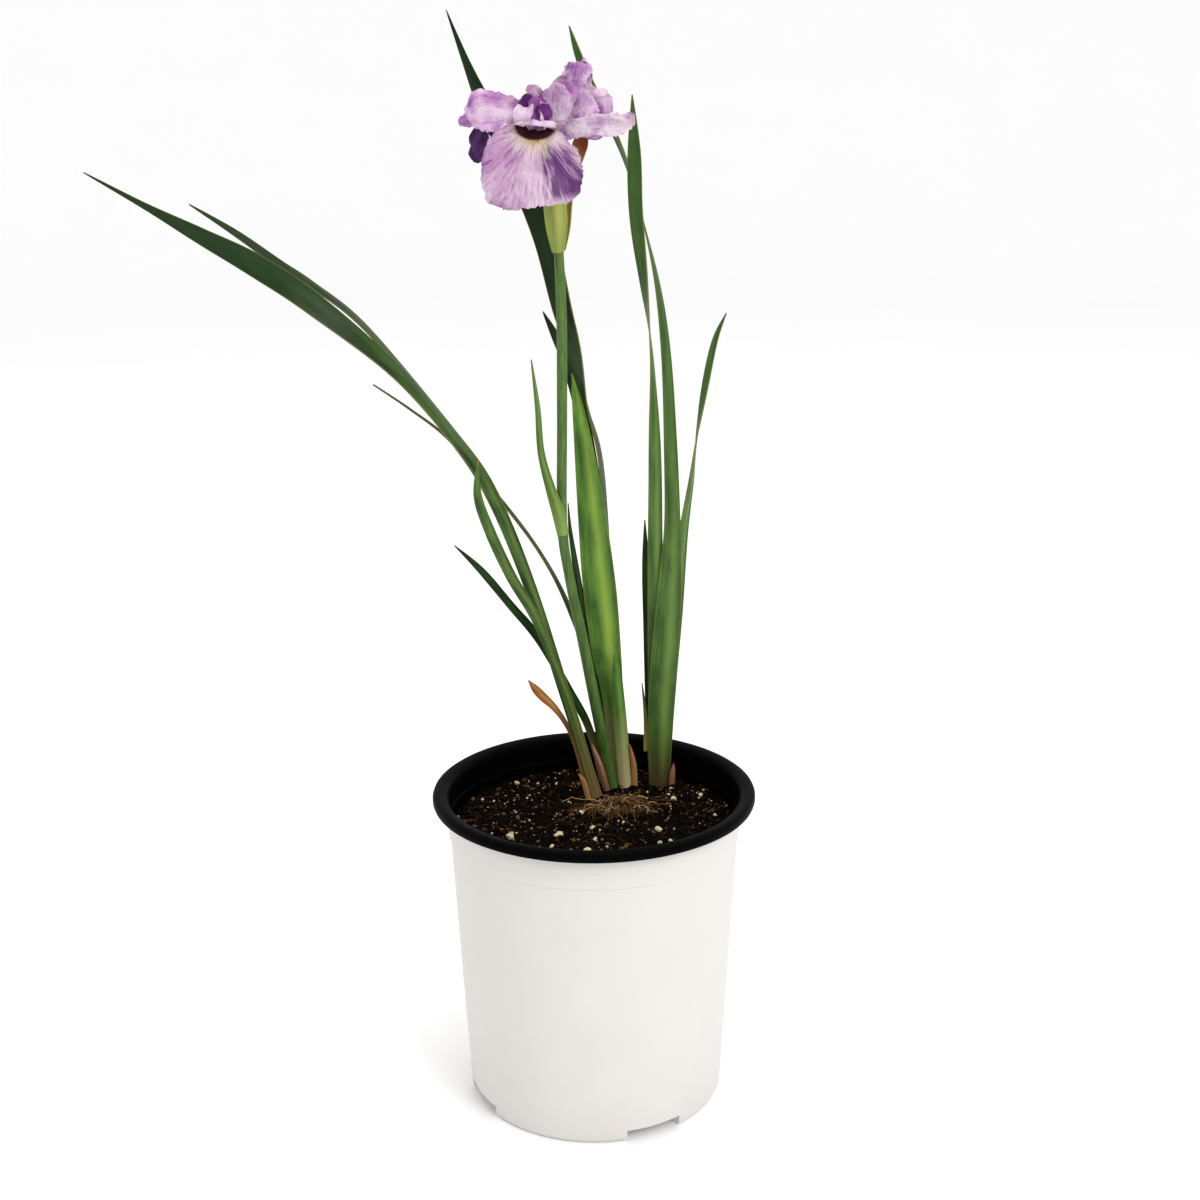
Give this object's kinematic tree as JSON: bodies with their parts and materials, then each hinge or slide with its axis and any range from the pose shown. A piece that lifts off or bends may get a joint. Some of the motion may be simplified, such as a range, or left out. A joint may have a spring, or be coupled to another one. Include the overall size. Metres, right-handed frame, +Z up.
{
  "type": "potted iris plant",
  "caption": "Flowering iris in a round white nursery pot: sword-shaped leaves in fans, a lilac ruffled flower on a leafy stalk, dark potting mix.",
  "frame": {"origin": "centre of the circle that the pot stands on, at the level of its flat underside", "axes": "+Z up along the pot's axis; -Y is the front, where the flower faces; the longest leaf arches out to -X"},
  "size_m": [0.3126, 0.165, 0.5461],
  "materials": {
    "pot_plastic": "white coextruded plastic, black inside and on the rolled lip, satin",
    "potting_mix": "damp peat with bark, fibres and perlite",
    "dry_roots": "dry fibrous roots and old leaf fibres",
    "leaf": "fresh green blade with fine lengthwise veins, satin",
    "dry_leaf": "dry papery leaf, matte",
    "stalk": "smooth round green stalk, satin",
    "bract": "pale yellow-green bract with brown edges",
    "petal": "thin ruffled lilac petal with violet veins, soft velvet",
    "style": "pale lilac petal-like style arm, soft"
  },
  "bodies": {
    "root": {"pot": "pot_plastic", "potting_mix": "potting_mix", "root_mat": "dry_roots", "left_long_leaf": "leaf", "left_slender_leaf": "leaf", "left_short_leaf": "leaf", "left_outer_leaf": "dry_leaf", "broad_leaf": "leaf", "stalk_leaf": "leaf", "tall_leaf": "leaf", "back_leaf": "leaf", "trailing_leaf": "leaf", "crossing_leaf": "leaf", "low_sheath": "leaf", "right_front_leaf": "leaf", "right_tall_leaf": "leaf", "right_leaning_leaf": "leaf", "right_back_leaf": "leaf", "left_scale": "dry_leaf", "pink_scale": "dry_leaf", "pale_scale": "dry_leaf", "right_scale": "dry_leaf", "side_scale": "dry_leaf", "flower_stalk": "stalk", "stalk_bract": "stalk", "flower_tube": "bract", "front_bract": "bract", "back_bract": "bract", "front_fall": "petal", "left_fall": "petal", "right_fall": "petal", "left_standard": "petal", "right_standard": "petal", "back_standard": "petal", "front_style": "style", "left_style": "style", "right_style": "style", "front_left_crest": "style", "front_right_crest": "style"}
  },
  "joints": []
}
